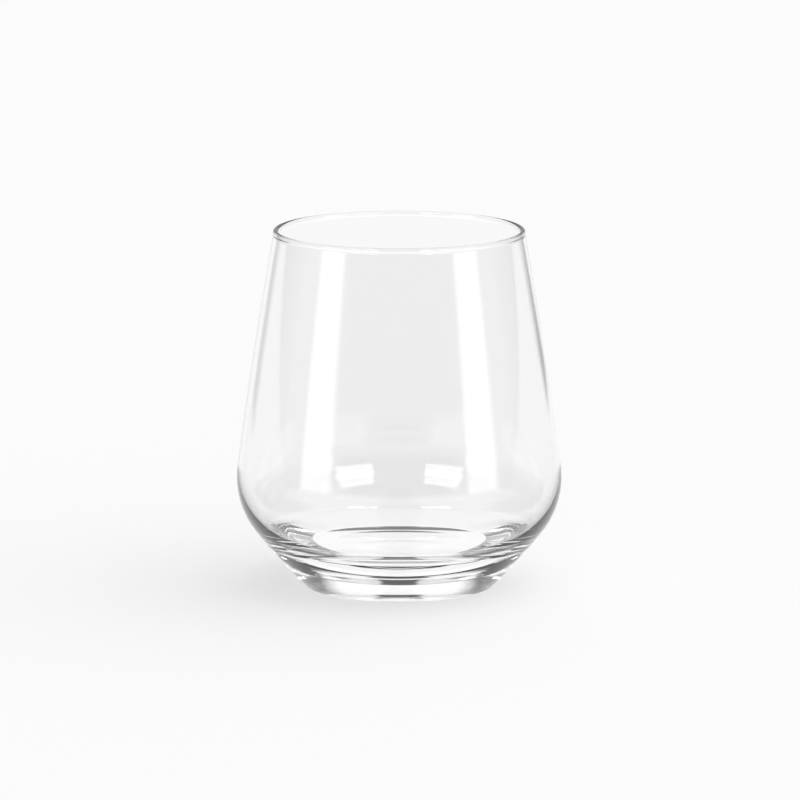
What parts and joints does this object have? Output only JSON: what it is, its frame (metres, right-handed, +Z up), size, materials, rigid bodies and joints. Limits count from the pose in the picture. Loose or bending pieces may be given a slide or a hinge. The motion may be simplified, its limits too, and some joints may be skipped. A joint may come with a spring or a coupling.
{
  "type": "stemless wine glass",
  "caption": "Clear stemless wine glass with a wall that leans in from a low, wide belly and a thick base that stands on a foot ring.",
  "frame": {"origin": "centre of the foot ring, on the surface that the glass stands on", "axes": "+Z up along the axis of the glass, towards the lip; the glass is the same all the way round, so X and Y are any two level directions"},
  "size_m": [0.093, 0.093, 0.1028],
  "materials": {
    "clear_glass": "clear colourless soda-lime glass, fire polished and smooth on every face"
  },
  "bodies": {
    "root": {"stemless_glass": "clear_glass"}
  },
  "joints": []
}
